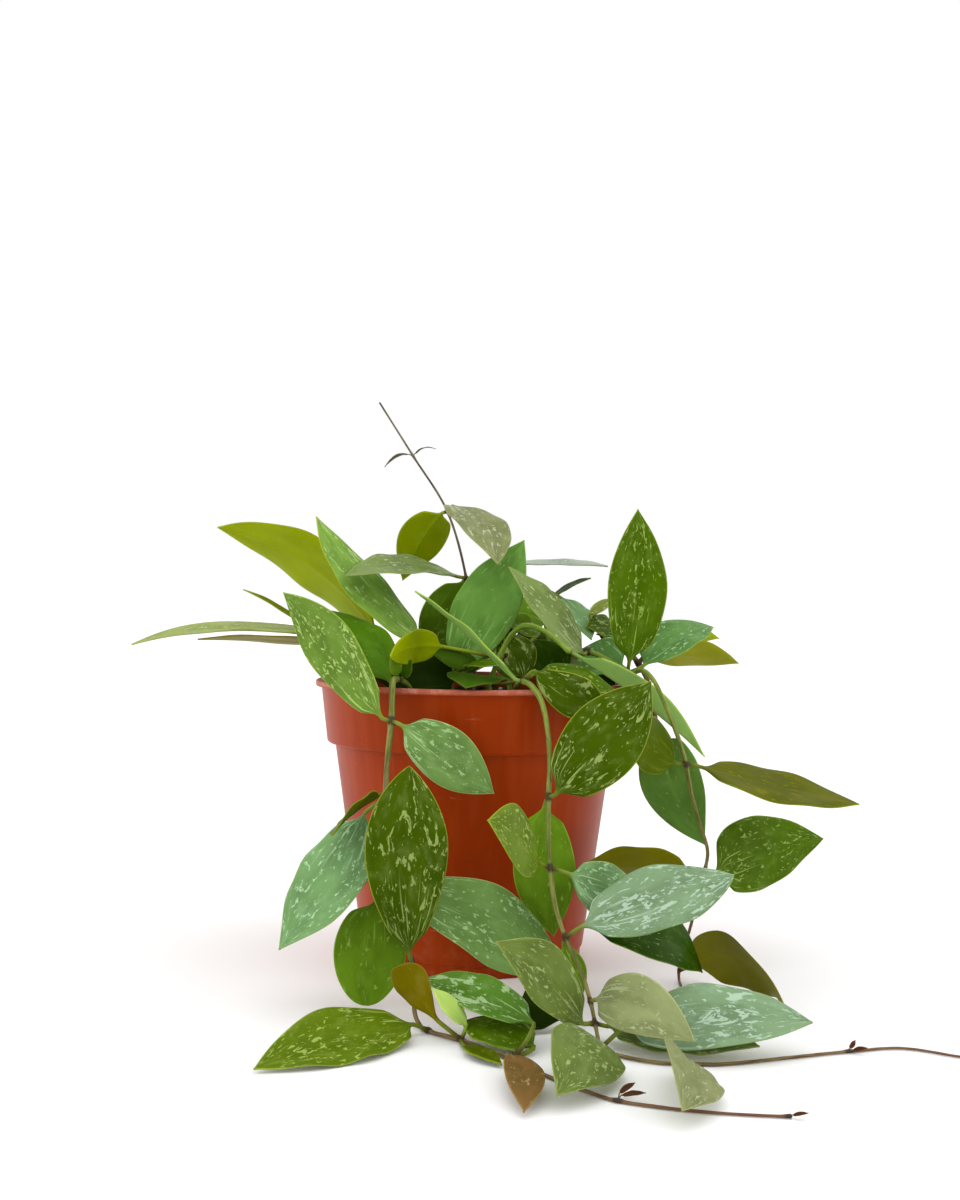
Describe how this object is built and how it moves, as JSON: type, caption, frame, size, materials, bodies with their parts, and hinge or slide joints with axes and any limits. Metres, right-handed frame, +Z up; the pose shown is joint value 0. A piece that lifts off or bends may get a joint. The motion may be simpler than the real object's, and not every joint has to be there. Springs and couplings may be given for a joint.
{
  "type": "potted hoya plant",
  "caption": "Trailing wax plant with pointed, silver-flecked leaves on vines that hang over the rim of a round plastic nursery pot and run on along the surface.",
  "frame": {"origin": "middle of the pot's underside, on the surface the pot stands on", "axes": "+Z up along the pot's axis, -Y towards the side that the vines hang over, +X to the right seen from there"},
  "size_m": [0.2943, 0.2582, 0.2105],
  "materials": {
    "pot_plastic": "satin",
    "soil": "matte",
    "leaf": "satin",
    "stem": "satin",
    "dry_stem": "matte"
  },
  "bodies": {
    "root": {"leaf_stem_front_1": "leaf", "leaf_stem_front_2": "leaf", "leaf_stem_front_3": "leaf", "leaf_stem_left_1": "leaf", "leaf_stem_left_2": "leaf", "leaf_stem_left_3": "leaf", "leaf_stem_middle_1": "leaf", "leaf_stem_middle_2": "leaf", "leaf_stem_rear_1": "leaf", "leaf_stem_right_1": "leaf", "leaf_stem_right_2": "leaf", "leaf_stem_right_3": "leaf", "leaf_twig_1": "leaf", "leaf_twig_2": "leaf", "leaf_twig_3": "leaf", "leaf_vine_front_1": "leaf", "leaf_vine_front_10": "leaf", "leaf_vine_front_11": "leaf", "leaf_vine_front_12": "leaf", "leaf_vine_front_13": "leaf", "leaf_vine_front_14": "leaf", "leaf_vine_front_2": "leaf", "leaf_vine_front_3": "leaf", "leaf_vine_front_4": "leaf", "leaf_vine_front_5": "leaf", "leaf_vine_front_6": "leaf", "leaf_vine_front_7": "leaf", "leaf_vine_front_8": "leaf", "leaf_vine_front_9": "leaf", "leaf_vine_left_1": "leaf", "leaf_vine_left_10": "leaf", "leaf_vine_left_11": "leaf", "leaf_vine_left_2": "leaf", "leaf_vine_left_3": "leaf", "leaf_vine_left_4": "leaf", "leaf_vine_left_5": "leaf", "leaf_vine_left_6": "leaf", "leaf_vine_left_7": "leaf", "leaf_vine_left_8": "leaf", "leaf_vine_left_9": "leaf", "leaf_vine_right_1": "leaf", "leaf_vine_right_2": "leaf", "leaf_vine_right_3": "leaf", "leaf_vine_right_4": "leaf", "leaf_vine_right_5": "leaf", "leaf_vine_right_6": "leaf", "leaf_vine_right_7": "leaf", "leaf_vine_right_8": "leaf", "leaf_vine_right_9": "leaf", "pot": "pot_plastic", "soil": "soil", "stem_front": "stem", "stem_left": "stem", "stem_middle": "stem", "stem_rear": "stem", "stem_right": "stem", "twig": "dry_stem", "vine_front": "stem", "vine_left": "stem", "vine_right": "stem"}
  },
  "joints": []
}
